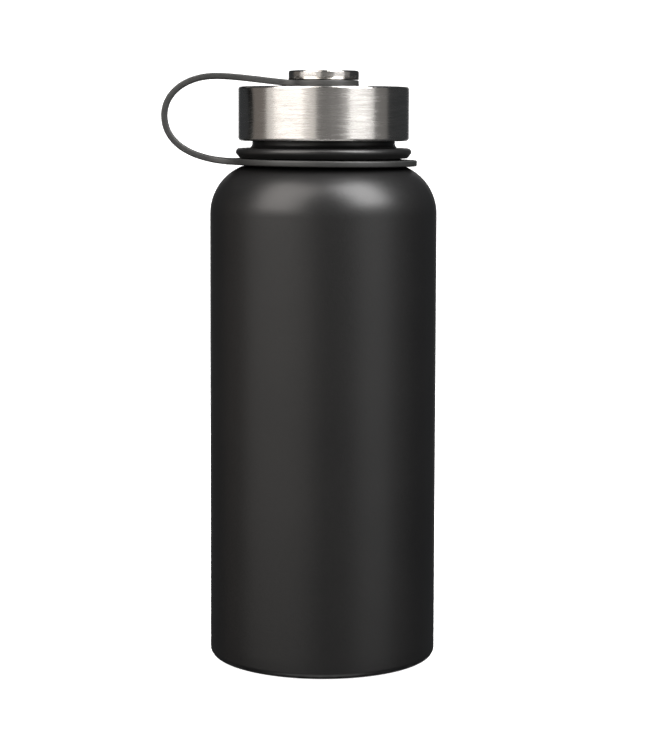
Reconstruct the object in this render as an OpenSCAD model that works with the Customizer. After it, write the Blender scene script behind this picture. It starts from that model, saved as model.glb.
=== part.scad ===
// Insulated wide-mouth bottle: a double-walled steel vessel, a screw cap clad in brushed
// steel with a knob on top, and a moulded rubber strap that ties the cap to the neck.
// Millimetres. +Z is up, the origin is the centre of the foot, the strap lies towards -X.

/* [Vessel] */
// Outer diameter of the straight body
body_d = 91; // [76:0.5:110]
// Height at which the straight side ends and the shoulder begins
straight_h = 179; // [130:1:230]
// Radius of the shoulder curve
shoulder_r = 20.5; // [14:0.5:24]
// Radius of the corner round the foot
base_corner_r = 2.8; // [1.5:0.1:5]
// Flat width of the foot that the bottle stands on
foot_w = 3.2; // [2:0.1:6]
// Depth of the recess inside the foot
base_recess = 3; // [2:0.5:6]
// Sheet thickness of the outer wall
shell_t = 0.5; // [0.4:0.1:1]
// Sheet thickness of the inner wall
vessel_t = 0.45; // [0.4:0.05:0.8]
// Vacuum gap between the two walls along the body
side_gap = 3.9; // [2:0.1:7]
// Vacuum gap under the floor of the inner wall
floor_gap = 6; // [4:0.5:12]
// Corner radius of the inner floor
floor_corner_r = 6; // [3:0.5:10]
// Thickness of the reflecting foil
foil_t = 0.1; // [0.1:0.05:0.3]
// Width of the base left bare round the disc that covers the evacuation port
cover_inset = 8; // [3:0.5:14]

/* [Neck] */
// Outer diameter of the neck
neck_d = 54.3; // [44:0.1:66]
// Height of the neck's collar, which the thread stands above
collar_h = 3.2; // [2.6:0.1:4]
// Radial clearance between the collar and the cap's bore
collar_gap = 0.55; // [0.3:0.05:1]
// Height of the thread's first turn above the collar
thread_start = 1.9; // [1.6:0.1:4]
// Plain stretch of the neck above its thread
neck_end = 1; // [0.6:0.1:4]
// Vacuum gap between the two walls in the neck
neck_gap = 1.5; // [1:0.1:2.5]
// Height of the rolled lip
lip_h = 1.2; // [0.8:0.1:2]
// Step from the neck out to the groove that the strap's neck ring turns in
groove_step = 3.85; // [3:0.05:6]
// Gap over the neck ring in its groove
groove_play = 0.6; // [0.3:0.1:1.5]
// Width of the ledge outside the groove, where the shoulder ends
ledge_w = 2.3; // [1.6:0.1:4]
// How far the bead that keeps the neck ring on stands out past the groove
bead_reach = 4.2; // [3.4:0.1:5]
// Height of the bead
bead_h = 4; // [3.6:0.1:5]
// Radius of the bead's outer edge
bead_edge_r = 1.5; // [1:0.1:1.7]
// Radius of the fillet between the bead and the collar
neck_fillet = 1.8; // [0.8:0.1:2.2]

/* [Thread] */
// Rise of the cap in one full turn
thread_lead = 9; // [7:0.5:11]
// Height of the neck thread's ridge
thread_h = 1.6; // [1.2:0.1:1.8]
// Width of a ridge at its root
thread_w = 2.2; // [1.8:0.1:2.3]
// Clearance between the ridges' crests and the walls they face
thread_gap = 0.4; // [0.3:0.05:0.6]
// Turns that each ridge of the neck runs for
neck_turns = 1.1; // [0.8:0.1:1.2]
// Turns that each ridge of the cap runs for
cap_turns = 0.55; // [0.3:0.05:0.7]

/* [Cap] */
// Thickness of the cap's side, cladding and body together
cap_wall = 5.05; // [4:0.05:7]
// Gap between the bead and the closed cap
cap_gap = 2.9; // [2:0.1:3.4]
// Thickness of the cap's steel cladding
cladding_t = 0.6; // [0.4:0.1:0.8]
// Radius of the cladding's top edge
cap_top_r = 1; // [0.8:0.1:2]
// Radius of the cladding's bottom edge
cap_hem_r = 1.3; // [0.8:0.1:2]
// Thickness of the cap body's top plate
plate_t = 2.6; // [2:0.1:3.5]
// Depth of the plug below the gasket
plug_depth = 11; // [8:0.5:14]
// Wall thickness of the plug
plug_t = 1.5; // [1:0.1:2]
// Radial clearance between the plug and the mouth
plug_gap = 0.55; // [0.4:0.05:1]
// Thickness of the plug's flange
flange_t = 1.6; // [1.2:0.1:2]
// Thickness of the sealing gasket
gasket_t = 1.35; // [1:0.05:2]

/* [Knob] */
// Diameter of the knob
knob_d = 28.2; // [26:0.1:34]
// Height of the knob's disc
knob_h = 3.65; // [3:0.05:6]
// Radius of the knob's top edge
knob_edge_r = 0.8; // [0.6:0.1:1.2]
// Diameter of the hub that the strap's eye turns on
hub_d = 16; // [12:0.5:18]
// Diameter of the screw's plain shoulder
screw_shoulder_d = 6; // [5:0.1:7]
// Diameter of the screw's thread
screw_d = 4; // [3:0.5:4.5]

/* [Strap] */
// Thickness of the strap's band and rings
strap_t = 2.4; // [2:0.1:3]
// Width of the band halfway round its loop
band_w = 10; // [6:0.5:16]
// Width of the band where it meets the neck ring
band_foot_w = 16; // [10:0.5:24]
// Width of the strap's neck ring
neck_ring_w = 6.1; // [4.5:0.1:9]
// How far the loop stands out past the neck ring
loop_out = 26.2; // [22:0.1:40]
// Height that the loop rises above the knob's groove
loop_rise = 2.6; // [1:0.1:5]
// Radial clearance of the two rings on the neck and the hub
ring_gap = 0.4; // [0.2:0.05:0.8]

/* [Hidden] */
$fn = 96;

running = 0.05;        // radial clearance of the cap on the knob screw's shoulder
seat = 0.05;           // gap between the gasket and the lip
slip = 0.1;            // gap between faces that slide past each other
hole_gap = 0.4;        // radial gap of the cladding's hole round the screw
body_r = body_d / 2;
neck_r = neck_d / 2;
groove_r = neck_r + groove_step;
ledge_r = groove_r + ledge_w;
bead_r = groove_r + bead_reach;
bore_r = neck_r + thread_h + thread_gap;
collar_r = bore_r - collar_gap;
shoulder_c = body_r - shoulder_r;
ledge_z = straight_h + sqrt(pow(shoulder_r, 2) - pow(max(0, ledge_r - shoulder_c), 2));
ring_lift = 0.5;
ring_z = ledge_z + ring_lift;
bead_under_z = ring_z + strap_t + groove_play;
bead_top_z = bead_under_z + bead_h;
collar_top_z = bead_top_z + collar_h;
thread_z = collar_top_z + thread_start;
neck_top_z = thread_z + neck_turns * thread_lead + thread_w / 2 + neck_end;
lip_z = neck_top_z + lip_h;

base_z = base_recess;
vessel_r = body_r - shell_t - side_gap;
vessel_neck_r = neck_r - shell_t - neck_gap;
vessel_floor_z = base_z + shell_t + floor_gap;
mouth_r = vessel_neck_r - vessel_t;
foot_in_r = body_r - base_corner_r - foot_w;
cover_r = foot_in_r - shell_t - cover_inset;
port_r = 0.8;
dimple_r = 5;
dimple_h = 1.2;
getter_r = 4.5;
getter_h = 2.2;
getter_x = 16;
clip_t = 0.3;
clip_w = 3;
foil_margin = 8;

starts = 2;
thread_drop = 0.72 * thread_w;
ridge_embed = 0.25;
steps_a_turn = 48;

cap_r = bore_r + cap_wall;
skirt_r = cap_r - cladding_t;
cap_z = bead_top_z + cap_gap;
gasket_z = lip_z + seat;
flange_z = gasket_z + gasket_t;
plate_z = flange_z + flange_t;
plate_top_z = plate_z + plate_t;
cap_top_z = plate_top_z + cladding_t;
cap_h = cap_top_z - cap_z;
plug_r = mouth_r - plug_gap;
flange_r = bore_r - 0.2;
plug_z = lip_z - plug_depth;
head_r = screw_shoulder_d / 2 + 2.2;
head_h = 2.5;
washer_r = screw_shoulder_d / 2 + 3.5;
washer_t = 0.6;
washer_z = plate_z - slip - washer_t;
pocket_gap = 0.7;

knob_r = knob_d / 2;
hub_r = hub_d / 2;
hub_z = cap_top_z + slip;
eye_z = cap_top_z + 0.15;
knob_z = eye_z + strap_t + 0.25;
knob_top_z = knob_z + knob_h;
insert_r = screw_d / 2 + 1.4;
insert_h = knob_top_z - cladding_t - 0.75 - hub_z;

neck_ring_r = groove_r + ring_gap + neck_ring_w;
loop_reach = neck_ring_r + loop_out;

// ---- outer wall ----------------------------------------------------------------------

// Half outline of the outer wall's skin, moved inwards by t.
module shell_outline(t) {
    shoulder_outline(t);
    square([groove_r - t, bead_top_z - t]);
    bead_outline(t);
    square([collar_r - t, collar_top_z - t]);
    square([neck_r - t, neck_top_z + (t > 0 ? 1 : 0)]);
    difference() {
        translate([0, bead_top_z - t - 1]) square([collar_r + neck_fillet, neck_fillet + t + 1]);
        translate([collar_r + neck_fillet, bead_top_z + neck_fillet]) circle(neck_fillet + t);
    }
}

module shoulder_outline(t) {
    corner = base_corner_r - t;
    translate([0, t]) square([body_r - t - corner, corner]);
    translate([body_r - base_corner_r, base_corner_r]) circle(corner);
    translate([0, base_corner_r]) square([body_r - t, straight_h - base_corner_r]);
    intersection() {
        translate([0, straight_h]) square([body_r, ledge_z - t - straight_h]);
        union() {
            translate([shoulder_c, straight_h]) circle(shoulder_r - t);
            translate([0, straight_h]) square([shoulder_c, shoulder_r - t]);
        }
    }
}

module bead_outline(t) {
    edge = bead_edge_r - t;
    centre = [bead_r - bead_edge_r, bead_top_z - bead_edge_r];
    slant = centre + edge * [cos(45), -sin(45)];
    under = bead_under_z + t;
    polygon([[0, under], [slant[0] - slant[1] + under, under], slant, centre,
             [centre[0], bead_top_z - t], [0, bead_top_z - t]]);
    translate(centre) circle(edge);
}

// One ridge of a thread that winds up round the axis. It runs from turn `from` to turn `to`
// on a helix that starts at height z and angle a, and its ends run out into the wall.
module ridge(z, a, from, to, root, crest, root_w, crest_w) {
    steps = ceil((to - from) * steps_a_turn);
    runout = 0.06;
    points = [for (i = [0 : steps])
        let (turn = from + (to - from) * i / steps,
             full = min(1, (turn - from) / runout, (to - turn) / runout),
             tip = root + (crest - root) * max(0.05, full),
             h = z + thread_lead * turn,
             angle = a + 360 * turn)
        for (p = [[root, h - root_w / 2], [tip, h - crest_w / 2],
                  [tip, h + crest_w / 2], [root, h + root_w / 2]])
            [p[0] * cos(angle), p[0] * sin(angle), p[1]]];
    turned = crest > root ? [0, 1, 2, 3] : [3, 2, 1, 0];
    sides = [for (i = [0 : steps - 1], k = [0 : 3])
        let (m = turned[k], n = turned[(k + 1) % 4])
        [4 * i + m, 4 * i + n, 4 * (i + 1) + n, 4 * (i + 1) + m]];
    ends = [[for (k = [3 : -1 : 0]) turned[k]], [for (k = [0 : 3]) 4 * steps + turned[k]]];
    polyhedron([for (p = points) p], concat(sides, ends), convexity = 4);
}

module outer_shell() {
    color([0.16, 0.16, 0.16]) {
        difference() {
            rotate_extrude() difference() {
                shell_outline(0);
                shell_outline(shell_t);
            }
            cylinder(r = foot_in_r, h = 2 * base_recess, center = true);
        }
        for (k = [0 : starts - 1])
            ridge(thread_z, 360 * k / starts, 0, neck_turns, neck_r - ridge_embed,
                  neck_r + thread_h, thread_w, 0.45 * thread_w);
    }
}

// ---- inside the wall -----------------------------------------------------------------

// Half outline of the inner wall's skin, moved inwards by t.
module vessel_outline(t) {
    corner = floor_corner_r - t;
    top_r = vessel_r - shoulder_c;
    translate([0, vessel_floor_z + t]) square([vessel_r - floor_corner_r, floor_corner_r]);
    translate([vessel_r - floor_corner_r, vessel_floor_z + floor_corner_r]) circle(corner);
    translate([0, vessel_floor_z + floor_corner_r])
        square([vessel_r - t, straight_h - vessel_floor_z - floor_corner_r]);
    intersection() {
        translate([0, straight_h]) square([vessel_r, top_r - t]);
        union() {
            translate([shoulder_c, straight_h]) circle(top_r - t);
            translate([0, straight_h]) square([shoulder_c, top_r - t]);
        }
    }
    translate([0, straight_h]) square([vessel_neck_r - t, lip_z - straight_h + (t > 0 ? 1 : 0)]);
}

module inner_vessel() {
    lip_edge = 0.5;
    color([0.72, 0.72, 0.7]) rotate_extrude() difference() {
        union() {
            vessel_outline(0);
            translate([0, neck_top_z]) square([neck_r, lip_h - lip_edge]);
            translate([0, neck_top_z]) square([neck_r - lip_edge, lip_h]);
            translate([neck_r - lip_edge, lip_z - lip_edge]) circle(lip_edge);
        }
        vessel_outline(vessel_t);
    }
}

module reflective_foil() {
    z = vessel_floor_z + floor_corner_r + foil_margin;
    color([0.75, 0.48, 0.3]) translate([0, 0, z]) difference() {
        cylinder(r = vessel_r + slip + foil_t, h = straight_h - foil_margin - z);
        translate([0, 0, -1]) cylinder(r = vessel_r + slip, h = straight_h - z);
    }
}

module outer_base() {
    color([0.2, 0.2, 0.2]) difference() {
        union() {
            cylinder(r = foot_in_r, h = base_z + shell_t);
            cylinder(r = dimple_r + shell_t, h = base_z + dimple_h + shell_t);
        }
        translate([0, 0, -1]) cylinder(r = foot_in_r - shell_t, h = base_z + 1);
        cylinder(r = dimple_r, h = base_z + dimple_h);
        cylinder(r = port_r, h = base_z + dimple_h + shell_t + 1);
    }
}

module base_cover() {
    color([0.17, 0.17, 0.17]) translate([0, 0, base_z - shell_t])
        cylinder(r = cover_r, h = shell_t);
}

module vacuum_seal() {
    color([0.55, 0.55, 0.52]) {
        translate([0, 0, base_z]) cylinder(r = dimple_r, h = dimple_h);
        translate([0, 0, base_z + dimple_h]) cylinder(r = port_r, h = shell_t);
    }
}

module getter() {
    color([0.45, 0.42, 0.4]) translate([getter_x, 0, base_z + shell_t])
        cylinder(r = getter_r, h = getter_h);
}

module getter_clip() {
    reach = 2 * getter_r + 2 * clip_t;
    foot = 3;
    color([0.7, 0.7, 0.7]) translate([getter_x, 0, base_z + shell_t]) {
        translate([-clip_w / 2, -reach / 2, getter_h]) cube([clip_w, reach, clip_t]);
        for (side = [-1, 1]) {
            translate([-clip_w / 2, side * (getter_r + clip_t / 2) - clip_t / 2, 0])
                cube([clip_w, clip_t, getter_h]);
            translate([-clip_w / 2, side * (reach / 2 + foot / 2) - foot / 2, 0])
                cube([clip_w, foot, clip_t]);
        }
    }
}

// ---- cap -----------------------------------------------------------------------------

// Half outline of a disc of radius r between two heights, its edges rounded.
module rounded_disc(r, low, high, low_r, high_r) {
    translate([0, low + low_r]) square([r, high - low - low_r - high_r]);
    if (low_r > 0) {
        translate([0, low]) square([r - low_r, low_r]);
        translate([r - low_r, low + low_r]) circle(low_r);
    }
    if (high_r > 0) {
        translate([0, high - high_r]) square([r - high_r, high_r]);
        translate([r - high_r, high - high_r]) circle(high_r);
    }
}

module cap_shell() {
    color([0.74, 0.73, 0.71]) difference() {
        rotate_extrude() difference() {
            rounded_disc(cap_r, cap_z, cap_top_z, cap_hem_r, cap_top_r);
            rounded_disc(skirt_r, cap_z + cladding_t, plate_top_z, cap_hem_r - cladding_t,
                         cap_top_r - cladding_t);
        }
        translate([0, 0, cap_z - 1]) cylinder(r = bore_r, h = cladding_t + 2);
        cylinder(r = screw_shoulder_d / 2 + hole_gap, h = cap_top_z + 1);
    }
}

module cap_body() {
    color([0.12, 0.12, 0.12]) {
        difference() {
            rotate_extrude() rounded_disc(skirt_r, cap_z + cladding_t, plate_top_z,
                                          cap_hem_r - cladding_t, cap_top_r - cladding_t);
            translate([0, 0, cap_z]) cylinder(r = bore_r, h = plate_z - cap_z);
            cylinder(r = screw_shoulder_d / 2 + running, h = cap_top_z);
        }
        for (k = [0 : starts - 1])
            ridge(thread_z - thread_drop, 360 * k / starts, 0.25, 0.25 + cap_turns,
                  bore_r + ridge_embed, neck_r + thread_gap, 0.85 * thread_w, 0.35 * thread_w);
    }
}

module cap_insulation() {
    color([0.93, 0.92, 0.88]) difference() {
        translate([0, 0, plug_z + plug_t]) cylinder(r = plug_r - plug_t, h = plate_z - plug_z - plug_t);
        translate([0, 0, washer_z - head_h - pocket_gap])
            cylinder(r = washer_r + pocket_gap, h = cap_h);
    }
}

module cap_plug() {
    color([0.13, 0.13, 0.13]) difference() {
        rotate_extrude() {
            rounded_disc(plug_r, plug_z, plate_z, 1.5, 0);
            translate([0, flange_z]) square([flange_r, flange_t]);
        }
        translate([0, 0, plug_z + plug_t]) cylinder(r = plug_r - plug_t, h = cap_h);
    }
}

module cap_gasket() {
    color([0.8, 0.8, 0.78]) translate([0, 0, gasket_z]) difference() {
        cylinder(r = neck_r + 0.4, h = gasket_t);
        translate([0, 0, -1]) cylinder(r = plug_r, h = cap_h);
    }
}

// ---- knob ----------------------------------------------------------------------------

module knob_cover() {
    color([0.74, 0.73, 0.71]) rotate_extrude() difference() {
        rounded_disc(knob_r, knob_z, knob_top_z, 0, knob_edge_r);
        rounded_disc(knob_r - cladding_t, knob_z - 1, knob_top_z - cladding_t, 0,
                     knob_edge_r - cladding_t);
    }
}

module knob_core() {
    color([0.12, 0.12, 0.12]) difference() {
        union() {
            rotate_extrude() rounded_disc(knob_r - cladding_t, knob_z, knob_top_z - cladding_t,
                                          0, knob_edge_r - cladding_t);
            translate([0, 0, hub_z]) cylinder(r = hub_r, h = knob_z - hub_z);
        }
        translate([0, 0, hub_z - 1]) cylinder(r = insert_r, h = insert_h + 1);
    }
}

module knob_insert() {
    color([0.76, 0.6, 0.3]) translate([0, 0, hub_z]) difference() {
        cylinder(r = insert_r, h = insert_h);
        translate([0, 0, -1]) cylinder(d = screw_d, h = insert_h + 2);
    }
}

module knob_screw() {
    socket_d = 3.4;
    color([0.7, 0.7, 0.7]) difference() {
        union() {
            translate([0, 0, washer_z - head_h]) cylinder(r = head_r, h = head_h);
            translate([0, 0, washer_z]) cylinder(d = screw_shoulder_d, h = hub_z - washer_z);
            translate([0, 0, hub_z]) cylinder(d = screw_d, h = insert_h);
        }
        translate([0, 0, washer_z - head_h - 1]) cylinder(d = socket_d, h = 2.6, $fn = 6);
    }
}

module knob_washer() {
    color([0.7, 0.7, 0.7]) translate([0, 0, washer_z]) difference() {
        cylinder(r = washer_r, h = washer_t);
        translate([0, 0, -1]) cylinder(d = screw_shoulder_d, h = washer_t + 2);
    }
}

// ---- strap ---------------------------------------------------------------------------

module strap_ring(outer, inner, z) {
    edge = 0.5;
    difference() {
        rotate_extrude() rounded_disc(outer, z, z + strap_t, edge, edge);
        translate([0, 0, z - 1]) cylinder(r = inner, h = strap_t + 2);
    }
}

module strap_neck_ring() {
    color([0.2, 0.2, 0.2]) strap_ring(neck_ring_r, groove_r + ring_gap, ring_z);
}

module strap_eye() {
    color([0.2, 0.2, 0.2]) strap_ring(knob_r, hub_r + ring_gap, eye_z);
}

// The loop's centre line in the XZ plane: three smooth stretches, from the eye to the top of
// the loop, on to its far side, and back to the neck ring.
eye_mid_z = eye_z + strap_t / 2;
ring_mid_z = ring_z + strap_t / 2;
loop_top_z = eye_mid_z + loop_rise;
loop_side_z = ring_mid_z + 0.6 * (eye_mid_z - ring_mid_z);
loop_stretches = [
    [[3 - knob_r, eye_mid_z], [-knob_r - 9, eye_mid_z + 0.8], [-loop_reach + 29, loop_top_z],
     [-loop_reach + 20.7, loop_top_z]],
    [[-loop_reach + 20.7, loop_top_z], [-loop_reach + 8.5, loop_top_z],
     [-loop_reach, loop_side_z + 8.9], [-loop_reach, loop_side_z]],
    [[-loop_reach, loop_side_z], [-loop_reach, loop_side_z - 12.4],
     [-neck_ring_r - 13, ring_mid_z + 1.2], [-neck_ring_r + 2, ring_mid_z + 0.3]]
];

function bezier(p, t) = pow(1 - t, 3) * p[0] + 3 * pow(1 - t, 2) * t * p[1]
    + 3 * (1 - t) * t * t * p[2] + pow(t, 3) * p[3];

function bezier_way(p, t) = let (d = pow(1 - t, 2) * (p[1] - p[0])
    + 2 * (1 - t) * t * (p[2] - p[1]) + t * t * (p[3] - p[2])) d / norm(d);

// Half width of the band at s, which goes from 0 at the eye to 1 at the neck ring.
function band_half_w(s) = band_w / 2 + (band_foot_w - band_w) / 2 * pow(s, 6)
    + 1.5 * pow(1 - s, 6);

module strap_band() {
    steps = 14;
    edge = 0.7;
    half_t = strap_t / 2;
    slices = concat([for (k = [0 : 2], i = [0 : steps - 1]) [k, i / steps]], [[2, 1]]);
    last = len(slices) - 1;
    points = [for (j = [0 : last])
        let (p = bezier(loop_stretches[slices[j][0]], slices[j][1]),
             way = bezier_way(loop_stretches[slices[j][0]], slices[j][1]),
             out = [-way[1], way[0]],
             w = band_half_w(j / last))
        for (c = [[w, half_t - edge], [w - edge, half_t], [edge - w, half_t],
                  [-w, half_t - edge], [-w, edge - half_t], [edge - w, -half_t],
                  [w - edge, -half_t], [w, edge - half_t]])
            [p[0] + out[0] * c[1], c[0], p[1] + out[1] * c[1]]];
    sides = [for (j = [0 : last - 1], m = [0 : 7])
        [8 * j + m, 8 * j + (m + 1) % 8, 8 * (j + 1) + (m + 1) % 8, 8 * (j + 1) + m]];
    ends = [[for (m = [7 : -1 : 0]) m], [for (m = [0 : 7]) 8 * last + m]];
    color([0.2, 0.2, 0.2]) difference() {
        polyhedron(points, concat(sides, ends), convexity = 6);
        translate([0, 0, knob_z - 2 * strap_t]) cylinder(r = knob_r + slip, h = 4 * strap_t);
        translate([0, 0, ring_z - strap_t]) cylinder(r = neck_ring_r, h = 3 * strap_t);
    }
}

outer_shell();
inner_vessel();
reflective_foil();
outer_base();
base_cover();
vacuum_seal();
getter();
getter_clip();
cap_shell();
cap_body();
cap_insulation();
cap_plug();
cap_gasket();
knob_cover();
knob_core();
knob_insert();
knob_screw();
knob_washer();
strap_neck_ring();
strap_band();
strap_eye();
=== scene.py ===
import math

import bmesh
import bpy
from mathutils import Matrix, Vector
from mathutils.geometry import delaunay_2d_cdt


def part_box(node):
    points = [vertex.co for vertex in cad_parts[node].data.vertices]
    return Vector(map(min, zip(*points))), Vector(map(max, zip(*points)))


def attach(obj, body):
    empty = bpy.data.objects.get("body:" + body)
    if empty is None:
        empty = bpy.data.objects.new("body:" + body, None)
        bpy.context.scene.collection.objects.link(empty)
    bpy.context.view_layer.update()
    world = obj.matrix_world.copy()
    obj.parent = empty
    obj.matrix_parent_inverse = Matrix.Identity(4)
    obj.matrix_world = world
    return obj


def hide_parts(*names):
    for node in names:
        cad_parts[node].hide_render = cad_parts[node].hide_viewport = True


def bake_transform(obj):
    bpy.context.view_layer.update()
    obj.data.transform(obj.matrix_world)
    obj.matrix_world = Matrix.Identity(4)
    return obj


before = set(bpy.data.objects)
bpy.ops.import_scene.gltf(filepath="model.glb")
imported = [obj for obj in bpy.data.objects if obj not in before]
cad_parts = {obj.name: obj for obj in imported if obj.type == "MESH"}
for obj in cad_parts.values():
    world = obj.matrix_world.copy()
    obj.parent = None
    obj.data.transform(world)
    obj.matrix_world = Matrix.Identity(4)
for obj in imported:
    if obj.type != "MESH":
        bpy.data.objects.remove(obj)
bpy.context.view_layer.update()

# ---- Camera --------------------------------------------------------------------------
# A long lens a little under a metre away, level with the cap, looking slightly down. It
# stands three degrees round to the strap's side, and sees the loop almost edge on.
mm = 0.001
foot_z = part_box("outer_shell")[0].z
camera = bpy.data.objects.new("camera", bpy.data.cameras.new("camera"))
bpy.context.scene.collection.objects.link(camera)
camera.data.sensor_width = 36
camera.data.lens = 99.6
camera.data.shift_x = 0.0018
camera.data.shift_y = -0.125
round_to, look_down, roll = math.radians(-3), 4.5, -0.15
camera_away, camera_high = 834.5 * mm, 217.3 * mm
camera.location = (camera_away * math.sin(round_to), -camera_away * math.cos(round_to),
                   foot_z + camera_high)
camera.rotation_euler = (math.radians(90 - look_down), math.radians(roll), round_to)
camera.data.clip_start = 0.05
bpy.context.scene.camera = camera

# ---- Studio --------------------------------------------------------------------------
# A pale floor that curves up into a pale backdrop all round, and tall soft boxes round the
# bottle, the widest to its left. Two more hang over its shoulders, two weak ones stand behind
# it, and a low one in front stands in for the light that a table sends back up.
scene = bpy.context.scene
scene.view_settings.view_transform = "Standard"
world = bpy.data.worlds.new("studio")
scene.world = world
world.use_nodes = True
world.node_tree.nodes["Background"].inputs["Color"].default_value = (0.9, 0.95, 1.0, 1)
world.node_tree.nodes["Background"].inputs["Strength"].default_value = 0.055


def sweep_paper():
    """The floor and backdrop as one sheet that curves up all round."""
    bend, reach, top, around = 0.5, 1.6, 2.6, 96
    line = [(0.02, 0.0), (reach - bend, 0.0)]
    line += [(reach - bend + bend * math.sin(a), bend - bend * math.cos(a))
             for a in (math.radians(5 * k) for k in range(1, 19))]
    line.append((reach, top))
    verts = [(r * math.cos(a), r * math.sin(a), foot_z - 0.0002 + z)
             for a in (2 * math.pi * k / around for k in range(around)) for r, z in line]
    n = len(line)
    faces = [(k * n + i, (k + 1) % around * n + i, (k + 1) % around * n + i + 1, k * n + i + 1)
             for k in range(around) for i in range(n - 1)]
    faces.append([k * n for k in reversed(range(around))])
    mesh = bpy.data.meshes.new("paper")
    mesh.from_pydata(verts, [], faces)
    mesh.shade_smooth()
    paper = bpy.data.objects.new("paper", mesh)
    scene.collection.objects.link(paper)
    material = bpy.data.materials.new("paper")
    material.use_nodes = True
    tree = material.node_tree
    shader = tree.nodes["Principled BSDF"]
    shader.inputs["Base Color"].default_value = (0.8, 0.8, 0.8, 1)
    shader.inputs["Roughness"].default_value = 0.9
    shader.inputs["Specular IOR Level"].default_value = 0.0
    shader.inputs["Emission Color"].default_value = (1, 1, 1, 1)
    shader.inputs["Emission Strength"].default_value = 0.85
    mesh.materials.append(material)
    paper.visible_glossy = False
    paper.visible_diffuse = False


sweep_paper()


def soft_box(name, azimuth, wide, low, high, radiance, colour=(1, 1, 1), tilt=0, away=1.1):
    """A soft box that faces the bottle. Azimuth is in degrees round from the front, to the
    right where positive, wide is the angle that the box fills, low and high are its ends
    before it is swung up by tilt degrees round the bottle's shoulder."""
    a = round_to + math.radians(azimuth)
    width = 2 * away * math.tan(math.radians(wide) / 2)
    light = bpy.data.lights.new(name, "AREA")
    light.shape = "RECTANGLE"
    light.size, light.size_y = width, high - low
    light.color = colour
    light.energy = radiance * math.pi * width * (high - low)
    box = bpy.data.objects.new(name, light)
    pivot = Vector((0, 0, foot_z + shoulder_height))
    swing = Matrix.Rotation(a, 4, "Z") @ Matrix.Rotation(-math.radians(tilt), 4, "X")
    box.matrix_world = (Matrix.Translation(pivot) @ swing
                        @ Matrix.Translation((0, -away, (low + high) / 2 - pivot.z))
                        @ Matrix.Rotation(math.radians(90), 4, "X"))
    scene.collection.objects.link(box)


shoulder_height = 190 * mm
warm, cool = (1.0, 0.955, 0.91), (1.0, 0.985, 0.97)
soft_box("left_box", -46, 72, -0.3, 0.6, 1.05, warm)
soft_box("left_edge", -98, 32, -0.3, 0.6, 0.2, (1.0, 0.86, 0.76))
soft_box("front_fill", 1, 22, -0.3, 0.6, 0.2, warm)
soft_box("right_lead", 17, 12, -0.3, 0.6, 0.2, warm)
soft_box("right_step", 28.5, 11, -0.3, 0.6, 0.3, warm)
soft_box("right_box", 45, 22, -0.3, 0.6, 1.05, cool)
soft_box("right_side", 63, 15, -0.3, 0.6, 1.0, cool)
soft_box("right_edge", 83, 22, -0.3, 0.6, 0.2, warm)
soft_box("left_top", -48, 44, -0.38, 0.85, 6.5, (1.0, 0.955, 0.92), tilt=39)
soft_box("right_top", 52, 33, -0.28, 0.7, 15.0, (1.0, 0.99, 0.99), tilt=45)
soft_box("back_left", -170, 20, -0.2, 0.7, 0.35, cool)
soft_box("back_right", 170, 20, -0.2, 0.7, 0.35, cool)
soft_box("table_glow", 0, 60, -0.1, 0.5, 1.5, cool, tilt=-60)

# ---- Bottle wall ---------------------------------------------------------------------
# The outer wall is drawn from stainless sheet: a straight body, a round shoulder, a groove
# for the strap and a rolled bead, then the neck with its two-start thread. It is powder
# coated matt black up to the thread, which is left bare.
shell_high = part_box("outer_shell")[1]
body_r = shell_high.x
neck_top = shell_high.z
sheet = 0.5 * mm
shoulder_r = 20.5 * mm
straight_top = 179 * mm
corner_r = 2.8 * mm
foot_in_r = body_r - corner_r - 3.2 * mm
ledge_r, groove_r, bead_r, neck_r = 33.3 * mm, 31 * mm, 35.2 * mm, 27.15 * mm
bead_edge = 1.5 * mm
ring_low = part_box("strap_neck_ring")[0].z
ledge_z = ring_low - 0.5 * mm
bead_low = ledge_z + 3.5 * mm
bead_top = bead_low + 4 * mm
neck_fillet = 1.8 * mm
collar_r = neck_r + 1.45 * mm
collar_top = bead_top + 3.2 * mm
thread_z = collar_top + 1.9 * mm
thread_lead = 9 * mm
coat_top = collar_top + 0.4 * mm


def arc(r, z, radius, start, end, steps=10):
    """Points of an arc in the (r, z) half plane, from one angle to another in degrees."""
    angles = [math.radians(start + (end - start) * k / steps) for k in range(steps + 1)]
    return [(r + radius * math.cos(a), z + radius * math.sin(a)) for a in angles]


def spaced(outline, longest):
    """The outline with its long straight stretches divided."""
    points = [outline[0]]
    for a, b in zip(outline, outline[1:]):
        n = max(1, math.ceil(math.dist(a, b) / longest))
        points += [(a[0] + (b[0] - a[0]) * k / n, a[1] + (b[1] - a[1]) * k / n)
                   for k in range(1, n + 1)]
    return points


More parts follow.
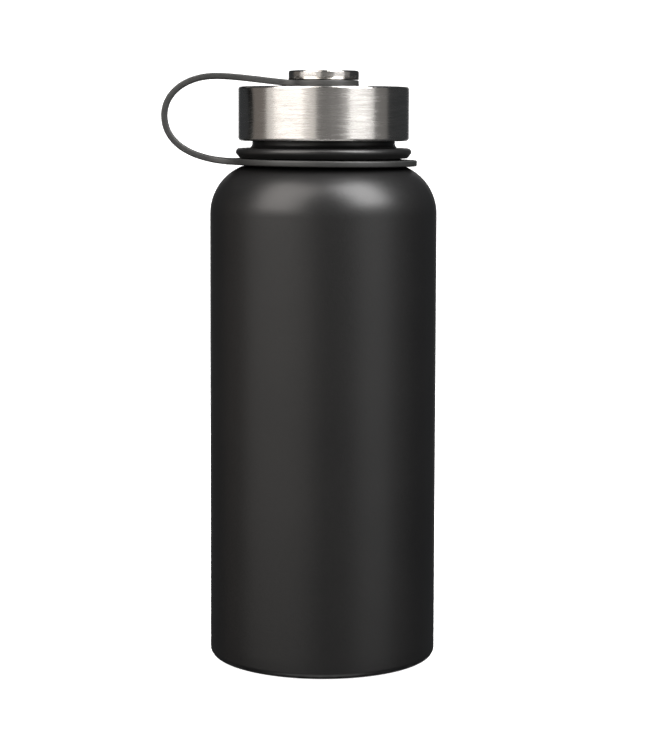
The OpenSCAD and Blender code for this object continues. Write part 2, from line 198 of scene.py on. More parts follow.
def turned(name, outline, around=192, closed=True, longest=8 * mm, sharp=35):
    """A solid of revolution about Z. The outline runs with the solid on its left; points on
    the axis become a single vertex, and a closed outline joins its last point to its first."""
    points = spaced(outline + outline[:1] if closed else outline, longest)
    points = points[:-1] if closed else points
    verts, rows = [], []
    for r, z in points:
        if r < 1e-7:
            rows.append([len(verts)] * around)
            verts.append((0, 0, z))
        else:
            rows.append(list(range(len(verts), len(verts) + around)))
            verts += [(r * math.cos(2 * math.pi * k / around),
                       r * math.sin(2 * math.pi * k / around), z) for k in range(around)]
    faces = []
    pairs = list(zip(rows, rows[1:] + rows[:1])) if closed else list(zip(rows, rows[1:]))
    for a, b in pairs:
        for k in range(around):
            n = (k + 1) % around
            corners = list(dict.fromkeys((a[k], a[n], b[n], b[k])))
            if len(corners) > 2:
                faces.append(corners)
    mesh = bpy.data.meshes.new(name)
    mesh.from_pydata(verts, [], faces)
    mesh.validate()
    mesh.shade_smooth()
    mesh.set_sharp_from_angle(angle=math.radians(sharp))
    piece = bpy.data.objects.new(name, mesh)
    scene.collection.objects.link(piece)
    return piece


def thread_ridge(start_angle, low_z, turns, root_r, crest_r, root_w, crest_w):
    """Vertices and faces of one ridge of the thread, whose two ends run out into the wall."""
    steps_per_turn, runout = 120, 0.07
    steps = int(turns * steps_per_turn)
    verts, faces = [], []
    lift = crest_r - root_r
    section = [(0, -0.5 * root_w), (0.55, -0.5 * (0.4 * root_w + 0.6 * crest_w)),
               (0.9, -0.46 * crest_w), (1, -0.3 * crest_w), (1, 0.3 * crest_w),
               (0.9, 0.46 * crest_w), (0.55, 0.5 * (0.4 * root_w + 0.6 * crest_w)),
               (0, 0.5 * root_w)]
    for i in range(steps + 1):
        turn = turns * i / steps
        full = min(1, turn / runout, (turns - turn) / runout)
        full = full * full * (3 - 2 * full)
        angle = start_angle + 2 * math.pi * turn
        for out, up in section:
            r = root_r + lift * max(0.02, full) * out
            verts.append((r * math.cos(angle), r * math.sin(angle),
                          low_z + thread_lead * turn + up))
    n = len(section)
    for i in range(steps):
        for k in range(n):
            a, b = i * n + k, i * n + (k + 1) % n
            face = (a, b, b + n, a + n)
            faces.append(face if lift < 0 else face[::-1])
    ends = [tuple(range(n)), tuple(range(steps * n + n - 1, steps * n - 1, -1))]
    faces += ends if lift > 0 else [e[::-1] for e in ends]
    return verts, faces


def add_ridges(piece, low_z, turns, root_r, crest_r, root_w, crest_w, first=0.0):
    """Two ridges, half a turn apart, joined to the piece's mesh."""
    bm = bmesh.new()
    bm.from_mesh(piece.data)
    for start in (0, math.pi):
        verts, faces = thread_ridge(start + 2 * math.pi * first, low_z + thread_lead * first,
                                    turns, root_r, crest_r, root_w, crest_w)
        made = [bm.verts.new(v) for v in verts]
        for f in faces:
            bm.faces.new([made[i] for i in f]).smooth = True
    bm.normal_update()
    bm.to_mesh(piece.data)
    bm.free()
    piece.data.set_sharp_from_angle(angle=math.radians(40))


def finish_of(name, colour, metallic=0.0, roughness=0.5, specular=0.5):
    """A new material with a Principled shader, and its node tree."""
    material = bpy.data.materials.new(name)
    material.use_nodes = True
    shader = material.node_tree.nodes["Principled BSDF"]
    shader.inputs["Base Color"].default_value = (*colour, 1)
    shader.inputs["Metallic"].default_value = metallic
    shader.inputs["Roughness"].default_value = roughness
    shader.inputs["Specular IOR Level"].default_value = specular
    return material, material.node_tree, shader


def node(tree, kind, inputs=None, **settings):
    """Adds a node, sets its options, and fills its inputs with values or with links."""
    made = tree.nodes.new("ShaderNode" + kind)
    for key, value in settings.items():
        setattr(made, key, value)
    for key, value in (inputs or {}).items():
        if isinstance(value, bpy.types.NodeSocket):
            tree.links.new(value, made.inputs[key])
        else:
            made.inputs[key].default_value = value
    return made


def noise(tree, where, scale, detail=3.0, roughness=0.55):
    made = node(tree, "TexNoise", {"Vector": where, "Scale": scale, "Detail": detail,
                                   "Roughness": roughness})
    return made.outputs["Fac"]


def drawn_out(tree, where, scale, detail):
    """Noise stretched along one axis, for scuffs, streaks and tool marks."""
    stretch = node(tree, "Mapping", {"Vector": where, "Scale": scale})
    return noise(tree, stretch.outputs[0], 1.0, detail)


def remap(tree, value, low, high, out_low, out_high):
    made = node(tree, "MapRange", {"Value": value, "From Min": low, "From Max": high,
                                   "To Min": out_low, "To Max": out_high})
    return made.outputs["Result"]


def maths(tree, operation, a, b=0.0):
    return node(tree, "Math", {0: a, 1: b}, operation=operation).outputs[0]


def tint(tree, value, dark, light):
    """A colour between dark and light by value."""
    made = node(tree, "Mix", {"Factor": value}, data_type="RGBA")
    made.inputs["A"].default_value = (*dark, 1)
    made.inputs["B"].default_value = (*light, 1)
    return made.outputs["Result"]


def bump(tree, shader, height, strength, distance):
    made = node(tree, "Bump", {"Height": height, "Strength": strength, "Distance": distance})
    tree.links.new(made.outputs["Normal"], shader.inputs["Normal"])


def powder_coat():
    """Fine orange-peel grain with faintly lighter patches, and coat rubbed a little shiny
    and grey round the foot, where the bottle is set down."""
    material, tree, shader = finish_of("powder_coat", (0.006, 0.006, 0.006), specular=0.4)
    where = node(tree, "TexCoord").outputs["Object"]
    grain = noise(tree, where, 2600, 2.0, 0.6)
    peel = noise(tree, where, 900, 1.0)
    patches = noise(tree, where, 28, 4.0)
    height = node(tree, "SeparateXYZ", {"Vector": where}).outputs["Z"]
    near_foot = remap(tree, height, foot_z + 2.2 * mm, foot_z + 0.2 * mm, 0, 1)
    rub = maths(tree, "MULTIPLY", near_foot, remap(tree, noise(tree, where, 220, 4.0),
                                                   0.4, 0.62, 0, 1))
    base = tint(tree, remap(tree, patches, 0.3, 0.7, 0, 1),
                (0.0052, 0.0052, 0.0054), (0.0068, 0.0067, 0.0068))
    speck = tint(tree, remap(tree, grain, 0.35, 0.75, 0, 1), (0.88, 0.88, 0.88),
                 (1.2, 1.2, 1.2))
    mixed = node(tree, "Mix", {"Factor": 1.0, "A": base, "B": speck}, data_type="RGBA",
                 blend_type="MULTIPLY")
    worn = node(tree, "Mix", {"Factor": rub, "A": mixed.outputs["Result"]},
                data_type="RGBA")
    worn.inputs["B"].default_value = (0.05, 0.05, 0.05, 1)
    tree.links.new(worn.outputs["Result"], shader.inputs["Base Color"])
    rough = maths(tree, "ADD", remap(tree, grain, 0.3, 0.7, 0.33, 0.41),
                  maths(tree, "MULTIPLY", rub, -0.12))
    tree.links.new(rough, shader.inputs["Roughness"])
    bump(tree, shader, maths(tree, "ADD", maths(tree, "MULTIPLY", grain, 0.5), peel),
         0.35, 0.05 * mm)
    return material


def round_axis(tree, along, across):
    """A texture vector for marks that run round the bottle's axis: slow along the mark, fast
    across it, both up the side and out over a flat top."""
    where = node(tree, "TexCoord").outputs["Object"]
    parts = node(tree, "SeparateXYZ", {"Vector": where})
    x, y, z = (parts.outputs[k] for k in "XYZ")
    flat = node(tree, "CombineXYZ", {"X": x, "Y": y})
    radius = node(tree, "VectorMath", {0: flat.outputs[0]}, operation="LENGTH").outputs["Value"]
    way = node(tree, "VectorMath", {0: flat.outputs[0]}, operation="NORMALIZE").outputs[0]
    turned_way = node(tree, "VectorMath", {0: way, "Scale": along}, operation="SCALE").outputs[0]
    turned_parts = node(tree, "SeparateXYZ", {"Vector": turned_way})
    height = maths(tree, "MULTIPLY", maths(tree, "ADD", z, radius), across)
    made = node(tree, "CombineXYZ", {"X": turned_parts.outputs["X"],
                                     "Y": turned_parts.outputs["Y"], "Z": height})
    return made.outputs[0]


def brushed(name, dark, light, roughness, fine=5200, anisotropy=0.75):
    """Steel brushed round the axis: fine scratches of several widths, which vary the colour,
    the roughness and the height, and a reflection that smears across them."""
    material, tree, shader = finish_of(name, light, metallic=1.0, roughness=roughness)
    shader.inputs["Anisotropic"].default_value = anisotropy
    shader.inputs["Anisotropic Rotation"].default_value = 0.25
    tangent = node(tree, "Tangent", direction_type="RADIAL", axis="Z")
    tree.links.new(tangent.outputs[0], shader.inputs["Tangent"])
    hair = noise(tree, round_axis(tree, 5.0, fine), 1.0, 2.0, 0.7)
    lines = noise(tree, round_axis(tree, 3.0, fine / 3.5), 1.0, 3.0, 0.65)
    bands = noise(tree, round_axis(tree, 1.2, fine / 14), 1.0, 2.0, 0.5)
    smudge = noise(tree, node(tree, "TexCoord").outputs["Object"], 45, 3.0)
    marks = maths(tree, "ADD", maths(tree, "MULTIPLY", hair, 0.45),
                  maths(tree, "ADD", maths(tree, "MULTIPLY", lines, 0.4),
                        maths(tree, "MULTIPLY", bands, 0.15)))
    tree.links.new(tint(tree, remap(tree, marks, 0.36, 0.64, 0, 1), dark, light),
                   shader.inputs["Base Color"])
    rough = maths(tree, "ADD", remap(tree, marks, 0.35, 0.65, roughness - 0.05,
                                     roughness + 0.06),
                  remap(tree, smudge, 0.35, 0.65, -0.015, 0.02))
    tree.links.new(rough, shader.inputs["Roughness"])
    bump(tree, shader, marks, 0.07, 0.012 * mm)
    return material


def bottle_wall():
    bead_c = (bead_r - bead_edge, bead_top - bead_edge)
    slant = (bead_c[0] + bead_edge * math.cos(math.pi / 4),
             bead_c[1] - bead_edge * math.sin(math.pi / 4))
    shoulder_c = body_r - shoulder_r
    ledge_angle = math.degrees(math.acos((ledge_r - 0.6 * mm - shoulder_c) / shoulder_r))
    outside = [(foot_in_r, foot_z)]
    outside += arc(body_r - corner_r, foot_z + corner_r, corner_r, -90, 0, 12)
    outside += arc(shoulder_c, straight_top, shoulder_r, 0, ledge_angle, 28)
    outside += [(groove_r + 0.8 * mm, ledge_z + 0.05 * mm)]
    outside += arc(groove_r + 0.7 * mm, ledge_z + 0.8 * mm, 0.7 * mm, 270, 180, 6)
    outside += arc(groove_r + 0.6 * mm, bead_low - 0.6 * mm, 0.6 * mm, 180, 90, 5)
    outside += arc(slant[0] - (slant[1] - bead_low) + 0.1 * mm, bead_low + 0.35 * mm,
                   0.35 * mm, -90, -45, 4)
    outside += arc(*bead_c, bead_edge, -45, 90, 16)
    outside += arc(collar_r + neck_fillet, bead_top + neck_fillet, neck_fillet, 270, 180, 10)
    outside += arc(collar_r - 0.6 * mm, collar_top - 0.6 * mm, 0.6 * mm, 0, 90, 6)
    outside += [(neck_r + 0.15 * mm, collar_top), (neck_r, collar_top + 0.2 * mm)]
    outside += [(neck_r, coat_top), (neck_r, neck_top - 0.1 * mm), (neck_r - sheet, neck_top)]
    inside_bead = bead_edge - sheet
    inside = [(neck_r - sheet, collar_top), (collar_r - sheet, collar_top - sheet)]
    inside += [(collar_r - sheet, bead_top - sheet)]
    inside += [(bead_c[0], bead_c[1] + inside_bead)]
    inside += arc(*bead_c, inside_bead, 75, -45, 6)
    inside += [(groove_r - sheet, bead_low + sheet), (groove_r - sheet, ledge_z - sheet)]
    inside += arc(shoulder_c, straight_top, shoulder_r - sheet, ledge_angle, 0, 18)
    inside += arc(body_r - corner_r, foot_z + corner_r, corner_r - sheet, 0, -90, 6)
    inside += [(foot_in_r, foot_z + sheet)]
    wall = turned("bottle_wall", outside + inside, around=256, longest=6 * mm, sharp=50)
    add_ridges(wall, thread_z, 1.1, neck_r - 0.25 * mm, neck_r + 1.6 * mm, 2.4 * mm, 1.3 * mm)
    return wall


wall = bottle_wall()
wall.data.materials.append(powder_coat())
wall.data.materials.append(brushed("neck_steel", (0.42, 0.41, 0.4), (0.6, 0.59, 0.57), 0.3,
                                   fine=3000, anisotropy=0.4))
for face in wall.data.polygons:
    inner = Vector(face.center[:2]).length < neck_r - 0.3 * sheet
    hidden = face.center.z < neck_top and inner and face.normal.dot(
        Vector((*face.center[:2], 0))) < 0
    face.material_index = 1 if face.center.z > coat_top or hidden else 0
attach(wall, "bottle")
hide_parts("outer_shell")

# ---- Inner vessel --------------------------------------------------------------------
# The inner wall is a second drawn can of stainless sheet, whose neck is rolled out into
# the lip and welded to the outer wall. It is finely brushed round its axis.
vessel_low, vessel_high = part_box("inner_vessel")
lip_z = vessel_high.z
vessel_sheet = 0.45 * mm
vessel_r = body_r - sheet - 3.9 * mm
vessel_neck_r = neck_r - sheet - 1.5 * mm
floor_corner = 6 * mm


def inner_vessel():
    shoulder_c = body_r - shoulder_r
    top_r = vessel_r - shoulder_c
    lip = 0.55 * mm

    def skin(inset):
        line = [(0, vessel_low.z + inset)]
        line += arc(vessel_r - floor_corner, vessel_low.z + floor_corner,
                    floor_corner - inset, -90, 0, 10)
        line += arc(shoulder_c, straight_top, top_r - inset, 0, 88, 18)
        line += [(vessel_neck_r - inset, straight_top + top_r + 1 * mm)]
        return line

    outside = skin(0) + [(vessel_neck_r, neck_top)]
    outside += [(neck_r - 0.1 * mm, neck_top + 0.02 * mm), (neck_r, neck_top + 0.15 * mm)]
    outside += arc(neck_r - lip, lip_z - lip, lip, 0, 90, 8)
    inside = arc(vessel_neck_r - vessel_sheet + lip, lip_z - lip, lip, 90, 180, 8)
    return turned("inner_vessel_wall", outside + inside + skin(vessel_sheet)[::-1],
                  around=192, closed=False, longest=8 * mm, sharp=50)


vessel = inner_vessel()
vessel.data.materials.append(brushed("vessel_steel", (0.5, 0.49, 0.475), (0.66, 0.65, 0.63),
                                     0.24, fine=2400, anisotropy=0.5))
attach(vessel, "bottle")
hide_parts("inner_vessel")

# ---- Base ----------------------------------------------------------------------------
# A pressed pan is welded inside the foot and coated with the wall. A thin coated disc is
# stuck over the port in its middle through which the air was drawn out.
pan_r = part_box("outer_base")[1].x
cover_low, cover_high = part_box("base_cover")
pan_z = cover_high.z


def base_pan():
    under = [(0, pan_z + 0.01 * mm), (cover_high.x - 3 * mm, pan_z + 0.01 * mm),
             (pan_r - 4.2 * mm, pan_z)]
    under += arc(pan_r - 3.6 * mm, pan_z - 1.2 * mm, 1.2 * mm, 90, 20, 8)
    under += arc(pan_r - 0.6 * mm, foot_z + 0.7 * mm, 0.6 * mm, 200, 270, 6)
    over = [(pan_r, foot_z + 0.1 * mm), (pan_r, pan_z + sheet), (0, pan_z + sheet)]
    return turned("base_pan", under + over, around=192, closed=False, longest=8 * mm)


def base_disc():
    r, edge = cover_high.x, 0.18 * mm
    bottom = [(0, cover_low.z)] + [(r - 1.6 * mm, cover_low.z)]
    rim = arc(r - edge, cover_low.z + edge, edge, -90, 0, 4)
    return turned("base_disc", bottom + rim + [(r, pan_z), (0, pan_z)], closed=False)


coat = wall.data.materials[0]
for piece, stands_for in ((base_pan(), "outer_base"), (base_disc(), "base_cover")):
    piece.data.materials.append(coat)
    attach(piece, "bottle")
    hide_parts(stands_for)

# ---- Cap cladding --------------------------------------------------------------------
# A cup of thin stainless sheet, spun and brushed round its side and over its top, crimped
# under the rim of the plastic cap inside it.
clad_low, clad_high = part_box("cap_shell")
cap_r, cap_z, cap_top = clad_high.x, clad_low.z, clad_high.z
clad = 0.6 * mm
cap_bore_r = neck_r + 2 * mm


def cap_cup():
    hem, top, screw_hole_r = 1.3 * mm, 1.0 * mm, 3.4 * mm
    line = [(cap_bore_r + 0.25 * mm, cap_z + 0.2 * mm), (cap_bore_r + 0.5 * mm, cap_z)]
    line += arc(cap_r - hem, cap_z + hem, hem, -90, 0, 12)
    line += [(cap_r, cap_z + hem + 0.01 * mm), (cap_r, cap_top - top - 0.01 * mm)]
    line += arc(cap_r - top, cap_top - top, top, 0, 90, 12)
    line += [(screw_hole_r, cap_top), (screw_hole_r, cap_top - clad)]
    line += arc(cap_r - top, cap_top - top, top - clad, 90, 0, 6)
    line += arc(cap_r - hem, cap_z + hem, hem - clad, 0, -90, 6)
    line += [(cap_bore_r + 0.25 * mm, cap_z + clad)]
    return turned("cap_cup", line, around=256, longest=5 * mm, sharp=50)


cup = cap_cup()
cup.data.materials.append(brushed("cap_steel", (0.49, 0.475, 0.455), (0.58, 0.565, 0.545),
                                  0.24))
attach(cup, "cap")
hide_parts("cap_shell")

# ---- Cap body ------------------------------------------------------------------------
# The cap's working part is moulded in black polypropylene: a skirt with its own two-start
# thread, and a hollow plug, welded on, that reaches down into the mouth.
body_low, body_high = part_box("cap_body")
plug_low, plug_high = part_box("cap_plug")


def cap_skirt():
    top, outer, under_plate = body_high.z, body_high.x, plug_high.z
    screw_hole_r, thread_drop = 3.05 * mm, 1.584 * mm
    line = [(cap_bore_r + 0.4 * mm, body_low.z), (outer - 0.8 * mm, body_low.z)]
    line += arc(outer - 0.7 * mm, body_low.z + 0.7 * mm, 0.7 * mm, -90, 0, 5)
    line += arc(outer - 0.4 * mm, top - 0.4 * mm, 0.4 * mm, 0, 90, 4)
    line += [(screw_hole_r, top), (screw_hole_r, under_plate)]
    line += [(cap_bore_r - 1 * mm, under_plate)]
    line += arc(cap_bore_r - 0.8 * mm, under_plate - 0.8 * mm, 0.8 * mm, 90, 0, 6)
    line += [(cap_bore_r, body_low.z + 0.4 * mm)]
    skirt = turned("cap_skirt", line, around=192, longest=6 * mm)
    add_ridges(skirt, thread_z - thread_drop, 0.55, cap_bore_r + 0.25 * mm,
               neck_r + 0.4 * mm, 1.9 * mm, 0.9 * mm, first=0.25)
    return skirt


def cap_plug():
    r, low, high = plug_r, plug_low.z, plug_high.z
    wall_t, dish = 1.5 * mm, 0.35 * mm
    wall_in = r - wall_t
    line = [(0, low + dish), (r - 6 * mm, low + dish), (r - 5.6 * mm, low), (wall_in, low)]
    line += arc(wall_in, low + wall_t, wall_t, -90, 0, 10)
    line += [(r, flange_z - 0.3 * mm), (r + 0.3 * mm, flange_z), (flange_r, flange_z)]
    line += [(flange_r, high), (wall_in, high), (wall_in, low + wall_t), (0, low + wall_t)]
    return turned("plug_cup", line, around=192, closed=False, longest=6 * mm)


def moulded(name, dark, light, roughness, grain_scale=1400, height=0.012 * mm):
    """Moulded plastic or rubber: a spark-eroded texture, cloudy patches where the melt
    cooled unevenly, and fine scuffs that leave it a little shinier."""
    material, tree, shader = finish_of(name, light, roughness=roughness)
    where = node(tree, "TexCoord").outputs["Object"]
    grain = noise(tree, where, grain_scale, 2.0, 0.6)
    cloud = noise(tree, where, 60, 3.0)
    scuff = drawn_out(tree, where, (300, 300, 2500), 3.0)
    mixed = maths(tree, "ADD", maths(tree, "MULTIPLY", grain, 0.5),
                  maths(tree, "MULTIPLY", cloud, 0.5))
    tree.links.new(tint(tree, remap(tree, mixed, 0.38, 0.62, 0, 1), dark, light),
                   shader.inputs["Base Color"])
    rough = maths(tree, "ADD", remap(tree, grain, 0.3, 0.7, roughness - 0.05,
                                     roughness + 0.06),
                  remap(tree, scuff, 0.6, 0.75, 0, -0.1))
    tree.links.new(rough, shader.inputs["Roughness"])
    bump(tree, shader, maths(tree, "ADD", grain, maths(tree, "MULTIPLY", cloud, 0.5)),
         0.5, height)
    return material


plug_r = vessel_neck_r - vessel_sheet - 0.55 * mm
flange_r = cap_bore_r - 0.2 * mm
gasket_low, gasket_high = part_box("cap_gasket")
flange_z = gasket_high.z
black_plastic = moulded("black_plastic", (0.012, 0.012, 0.0125), (0.019, 0.019, 0.0195), 0.42)
skirt = cap_skirt()
plug = cap_plug()
for piece, stands_for in ((skirt, "cap_body"), (plug, "cap_plug")):
    piece.data.materials.append(black_plastic)
    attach(piece, "cap")
    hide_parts(stands_for)

# ---- Cap gasket ----------------------------------------------------------------------
# A ring of milky white silicone under the plug's flange seals against the steel lip. It is
# moulded with a soft rounded bead where it is squeezed.


def gasket_ring():
    inner, outer = plug_r, gasket_high.x
    low, high = gasket_low.z, flange_z
    bead = (high - low) / 2
    line = [(inner + 0.15 * mm, low + 0.3 * mm), (outer - bead - 0.9 * mm, low + 0.3 * mm),
            (outer - bead - 0.5 * mm, low)]
    line += arc(outer - bead, low + bead, bead, -90, 90, 12)
    line += [(inner + 0.15 * mm, high)]
    return turned("gasket_ring", line, around=160, longest=6 * mm)


gasket = gasket_ring()
silicone = moulded("silicone", (0.6, 0.6, 0.57), (0.72, 0.72, 0.69), 0.38, 900)
silicone.node_tree.nodes["Principled BSDF"].inputs["Subsurface Weight"].default_value = 0.3
silicone.node_tree.nodes["Principled BSDF"].inputs["Subsurface Scale"].default_value = 0.002
gasket.data.materials.append(silicone)
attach(gasket, "cap")
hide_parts("cap_gasket")

# ---- Knob ----------------------------------------------------------------------------
# A black plastic puck with a hub below, capped by a pressed steel disc that is brushed like
# the cap. The strap's eye turns on the hub, under the disc.
knob_low, knob_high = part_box("knob_cover")
core_low, core_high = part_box("knob_core")
knob_r = knob_high.x
hub_r = 8 * mm


def knob_disc():
    edge = 0.8 * mm
    line = [(knob_r - clad, knob_low.z), (knob_r - 0.1 * mm, knob_low.z),
            (knob_r, knob_low.z + 0.1 * mm)]
    line += arc(knob_r - edge, knob_high.z - edge, edge, 0, 90, 12)
    line += [(0, knob_high.z), (0, knob_high.z - clad)]
    line += arc(knob_r - edge, knob_high.z - edge, edge - clad, 90, 0, 4)
    return turned("knob_disc", line, around=192, longest=2.5 * mm, sharp=60)


def knob_puck():
    outer = knob_r - clad
    bore_r, bore_top = 3.45 * mm, core_low.z + 5 * mm
    line = [(bore_r, core_low.z), (hub_r - 0.4 * mm, core_low.z)]
    line += arc(hub_r - 0.3 * mm, core_low.z + 0.3 * mm, 0.3 * mm, -90, 0, 4)
    line += arc(hub_r + 0.2 * mm, knob_low.z - 0.05 * mm, 0.2 * mm, 180, 90, 3)
    line += [(outer - 0.2 * mm, knob_low.z + 0.15 * mm), (outer, knob_low.z + 0.35 * mm)]
    line += [(outer, core_high.z - 0.3 * mm), (outer - 0.3 * mm, core_high.z),
             (0, core_high.z), (0, bore_top), (bore_r, bore_top)]
    return turned("knob_puck", line, around=160, longest=4 * mm)


disc = knob_disc()
disc.data.materials.append(brushed("knob_steel", (0.46, 0.445, 0.425), (0.54, 0.525, 0.505),
                                   0.2, anisotropy=0.6))
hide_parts("knob_cover")
puck = knob_puck()
puck.data.materials.append(black_plastic)
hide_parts("knob_core")
for piece in (disc, puck):
    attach(piece, "knob")

# ---- Strap ---------------------------------------------------------------------------
# One moulding in black thermoplastic rubber: a ring round the neck, a band that loops over
# to the cap, and an eye held under the knob. It is made flat and bends to this shape.
eye_low, eye_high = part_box("strap_eye")
neck_ring_low, neck_ring_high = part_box("strap_neck_ring")
strap_t = 2.4 * mm


def bend_line(ways, per_way=40):
    """Points and running lengths of a line made of cubic stretches."""
    points = []
    for p0, p1, p2, p3 in ways:
        for k in range(per_way):
            t = k / per_way
            points.append(tuple((1 - t) ** 3 * a + 3 * (1 - t) ** 2 * t * b
                                + 3 * (1 - t) * t * t * c + t ** 3 * d
                                for a, b, c, d in zip(p0, p1, p2, p3)))
    points.append(ways[-1][3])
    lengths = [0.0]
    for a, b in zip(points, points[1:]):
        lengths.append(lengths[-1] + math.dist(a, b))
    return points, lengths


def strap_path():
    """The strap's middle line seen from the front, from the axis at the knob, round the
    loop, and back to the axis at the neck."""
    eye_z = (eye_low.z + eye_high.z) / 2
    ring_z = (neck_ring_low.z + neck_ring_high.z) / 2 + 0.08 * mm
    tilt = 0.007

    def at(x, z):
        return (x * mm, z * mm)

    leave = (-13.6 * mm, eye_z + 0.12 * mm)
    top_x, top_z, far_x, far_z = -43, 233.9, -63.7, 218.2
    top, far = at(top_x, top_z), at(far_x, far_z)
    reach = (-36.8 * mm, ring_z + 36.8 * mm * tilt + 0.1 * mm)
    straight = [[(0, eye_z), (-4.5 * mm, eye_z), (-9 * mm, eye_z), leave]]
    over = [[leave, (leave[0] - 9 * mm, leave[1] + 0.75 * mm), at(top_x + 8.2, top_z), top]]
    down = [[top, at(top_x - 12.2, top_z), at(far_x, far_z + 8.9), far]]
    back = [[far, at(far_x, far_z - 12.4), (reach[0] - 13.6 * mm, reach[1] + 0.5 * mm),
             reach]]
    home = [[reach, (-30 * mm, ring_z + 30 * mm * tilt), (-15 * mm, ring_z + 15 * mm * tilt),
             (0, ring_z)]]
    return bend_line(straight + over + down + back + home)


path_points, path_lengths = strap_path()
path_total = path_lengths[-1]


def onto_path(along, side, out):
    """Where a point of the flat strap goes: along from the eye's middle, to one side, and
    out from the middle of the thickness."""
    if along <= 0 or along >= path_total:
        i = 0 if along <= 0 else len(path_points) - 2
    else:
        low, high = 0, len(path_lengths) - 1
        while high - low > 1:
            mid = (low + high) // 2
            low, high = (mid, high) if path_lengths[mid] <= along else (low, mid)
        i = low

    def way(j):
        a, b = path_points[max(0, j - 1)], path_points[min(len(path_points) - 1, j + 1)]
        return (Vector(b) - Vector(a)).normalized()

    a, b = Vector(path_points[i]), Vector(path_points[i + 1])
    share = (along - path_lengths[i]) / (path_lengths[i + 1] - path_lengths[i])
    place = a + (b - a) * share
    blend = min(1, max(0, share))
    ahead = (way(i) * (1 - blend) + way(i + 1) * blend).normalized()
    x, z = place.x + ahead.y * out, place.y - ahead.x * out
    return (x, side, z)


def round_hole(x, r, steps):
    """The edge of a hole in the flat strap."""
    turns = [2 * math.pi * k / steps for k in range(steps)]
    return [(x + r * math.cos(a), r * math.sin(a)) for a in turns]


def strap_outline():
    """The flat strap's edge as closed loops, outer edge first and holes after. The widths
    are half widths: at the eye, at the ring, and of the band between them."""
    eye_r, ring_r = eye_high.x, neck_ring_high.x
    eye_hole_r, ring_hole_r = 8.4 * mm, 31.4 * mm
    fillet_eye, fillet_ring = 9 * mm, 16 * mm
    w_eye, w_ring, w_band = 5.4 * mm, 6.4 * mm, 4.9 * mm
    eye_cx = math.sqrt((eye_r + fillet_eye) ** 2 - (w_eye + fillet_eye) ** 2)
    ring_cx = math.sqrt((ring_r + fillet_ring) ** 2 - (w_ring + fillet_ring) ** 2)
    eye_a = math.atan2(w_eye + fillet_eye, eye_cx)
    ring_a = math.atan2(w_ring + fillet_ring, ring_cx)
    half = [(-eye_r * math.cos(a), eye_r * math.sin(a))
            for a in (k * (math.pi - eye_a) / 60 for k in range(61))]
    half += [(eye_cx + fillet_eye * math.cos(a), w_eye + fillet_eye + fillet_eye * math.sin(a))
             for a in (math.pi + eye_a + (math.pi / 2 - eye_a) * k / 14 for k in range(1, 15))]
    start, end = eye_cx, path_total - ring_cx
    n = 90
    for k in range(1, n):
        t = k / n
        w = w_band + (w_eye - w_band) * (1 - t) ** 4 + (w_ring - w_band) * t ** 4
        half.append((start + (end - start) * t, w))
    half += [(path_total - ring_cx + fillet_ring * math.sin(a),
              w_ring + fillet_ring - fillet_ring * math.cos(a))
             for a in ((math.pi / 2 - ring_a) * k / 16 for k in range(17))]
    half += [(path_total - ring_r * math.cos(a), ring_r * math.sin(a))
             for a in (ring_a + (math.pi - ring_a) * k / 110 for k in range(1, 111))]
    outer = half + [(x, -y) for x, y in half[-2:0:-1]]
    eye_hole = round_hole(0, eye_hole_r, 96)
    ring_hole = round_hole(path_total, ring_hole_r, 200)
    return outer[::-1], eye_hole[::-1], ring_hole[::-1]


def inset(loop, by):
    """The loop moved to its left by that much."""
    moved = []
    n = len(loop)
    for i in range(n):
        a, b = Vector(loop[i - 1]), Vector(loop[(i + 1) % n])
        way = (b - a).normalized()
        moved.append((loop[i][0] - way.y * by, loop[i][1] + way.x * by))
    return moved


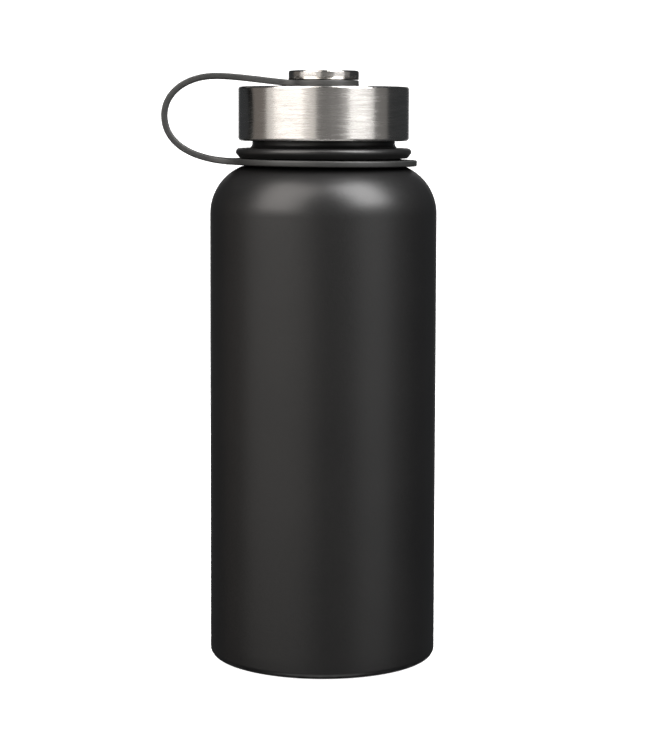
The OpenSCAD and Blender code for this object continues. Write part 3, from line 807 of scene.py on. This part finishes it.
def strap_mesh():
    loops = strap_outline()
    edge = 0.55 * mm
    half_t = strap_t / 2
    rounds = [(edge * (1 - math.cos(math.radians(a))), half_t - edge + edge * math.sin(
        math.radians(a))) for a in (90, 67, 45, 22, 0)]
    levels = rounds + [(by, -h) for by, h in rounds[::-1]]
    verts, faces, tops, bottoms = [], [], [], []
    for loop in loops:
        rings = []
        for by, h in levels:
            moved = inset(loop, by)
            rings.append(range(len(verts), len(verts) + len(moved)))
            verts += [(x, y, h) for x, y in moved]
        n = len(loop)
        for a, b in zip(rings, rings[1:]):
            faces += [(a[k], a[(k + 1) % n], b[(k + 1) % n], b[k]) for k in range(n)]
        tops.append(rings[0])
        bottoms.append(rings[-1])
    flat_loops = [[Vector(verts[i][:2]) for i in ring] for ring in tops]
    step = 1.6 * mm
    grid = []
    outer = flat_loops[0]

    def inside(p, loop):
        hit = False
        for a, b in zip(loop, loop[1:] + loop[:1]):
            if (a.y > p.y) != (b.y > p.y):
                hit ^= p.x < a.x + (p.y - a.y) / (b.y - a.y) * (b.x - a.x)
        return hit

    def clear(p):
        near = min((p - q).length_squared for loop in flat_loops for q in loop)
        return near > (0.6 * step) ** 2

    low_x = min(p.x for p in outer)
    high_x = max(p.x for p in outer)
    rows = math.ceil(max(p.y for p in outer) / step)
    for i in range(int((high_x - low_x) / step) + 1):
        for j in range(-rows, rows + 1):
            p = Vector((low_x + i * step, j * step))
            if inside(p, outer) and not any(inside(p, hole) for hole in flat_loops[1:]) \
                    and clear(p):
                grid.append(p)
    points, edges = [], []
    for loop in flat_loops:
        first = len(points)
        points += loop
        edges += [(first + k, first + (k + 1) % len(loop)) for k in range(len(loop))]
    points += grid
    made = delaunay_2d_cdt(points, edges, [], 0, 1e-7)
    assert len(made[0]) == len(points)
    middle = {}
    rim_top = [i for ring in tops for i in ring]
    rim_bottom = [i for ring in bottoms for i in ring]
    for sign, rim in ((1, rim_top), (-1, rim_bottom)):
        names = []
        for k in range(len(points)):
            if k < len(rim):
                names.append(rim[k])
            else:
                names.append(len(verts))
                verts.append((points[k].x, points[k].y, sign * half_t))
        middle[sign] = names
    for tri in made[2]:
        spot = sum((points[k] for k in tri), Vector((0, 0))) / 3
        if not inside(spot, outer) or any(inside(spot, hole) for hole in flat_loops[1:]):
            continue
        area = (points[tri[1]] - points[tri[0]]).cross(points[tri[2]] - points[tri[0]])
        up = tri if area > 0 else tri[::-1]
        faces.append(tuple(middle[1][k] for k in up))
        faces.append(tuple(middle[-1][k] for k in up[::-1]))
    bent = [onto_path(along, side, out) for along, side, out in verts]
    mesh = bpy.data.meshes.new("strap")
    mesh.from_pydata(bent, [], faces)
    mesh.validate()
    mesh.shade_smooth()
    mesh.set_sharp_from_angle(angle=math.radians(60))
    strap = bpy.data.objects.new("strap", mesh)
    scene.collection.objects.link(strap)
    return strap


strap = strap_mesh()
strap.data.materials.append(moulded("strap_rubber", (0.01, 0.0105, 0.01),
                                    (0.017, 0.0175, 0.017), 0.5, 1700))
bm = bmesh.new()
bm.from_mesh(strap.data)
bmesh.ops.recalc_face_normals(bm, faces=bm.faces)
bm.to_mesh(strap.data)
bm.free()
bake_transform(strap)
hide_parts("strap_neck_ring", "strap_band", "strap_eye")

# ---- Hidden pieces -------------------------------------------------------------------
# Inside the walls: copper foil round the vessel, the sealed port with its getter, and the
# foam, brass insert, screw and washer that the cap and knob are built on.


def foil_finish():
    """Thin foil wound round the vessel, with creases and streaks from handling."""
    material, tree, shader = finish_of("foil", (0.72, 0.42, 0.26), metallic=1.0,
                                       roughness=0.25)
    where = node(tree, "TexCoord").outputs["Object"]
    creases = noise(tree, where, 120, 5.0, 0.65)
    streaks = drawn_out(tree, where, (40, 40, 900), 2.0)
    tree.links.new(tint(tree, remap(tree, streaks, 0.35, 0.65, 0, 1), (0.62, 0.34, 0.2),
                        (0.78, 0.47, 0.3)), shader.inputs["Base Color"])
    tree.links.new(remap(tree, creases, 0.3, 0.7, 0.18, 0.36), shader.inputs["Roughness"])
    bump(tree, shader, creases, 0.6, 0.3 * mm)
    return material


def machined(name, dark, light, roughness):
    """Small turned or stamped metal parts, with fine tool marks and stains."""
    material, tree, shader = finish_of(name, light, metallic=1.0, roughness=roughness)
    where = node(tree, "TexCoord").outputs["Object"]
    marks = drawn_out(tree, where, (500, 500, 4000), 2.0)
    stain = noise(tree, where, 260, 4.0)
    tree.links.new(tint(tree, remap(tree, stain, 0.35, 0.65, 0, 1), dark, light),
                   shader.inputs["Base Color"])
    tree.links.new(remap(tree, marks, 0.3, 0.7, roughness - 0.08, roughness + 0.1),
                   shader.inputs["Roughness"])
    bump(tree, shader, marks, 0.4, 0.02 * mm)
    return material


carried = {
    "reflective_foil": foil_finish(),
    "vacuum_seal": machined("seal_metal", (0.4, 0.4, 0.38), (0.55, 0.55, 0.52), 0.4),
    "getter": moulded("getter", (0.1, 0.095, 0.09), (0.17, 0.16, 0.15), 0.8, 2200),
    "getter_clip": machined("clip_steel", (0.5, 0.5, 0.49), (0.66, 0.66, 0.64), 0.3),
    "cap_insulation": moulded("foam", (0.72, 0.7, 0.62), (0.84, 0.82, 0.75), 0.9, 800,
                              0.2 * mm),
    "knob_insert": machined("insert_brass", (0.6, 0.42, 0.16), (0.78, 0.58, 0.27), 0.3),
    "knob_screw": machined("screw_steel", (0.48, 0.48, 0.47), (0.64, 0.64, 0.62), 0.28),
    "knob_washer": machined("washer_steel", (0.52, 0.52, 0.5), (0.68, 0.68, 0.66), 0.32),
}
for name, material in carried.items():
    bpy.data.objects[name].data.materials.clear()
    bpy.data.objects[name].data.materials.append(material)
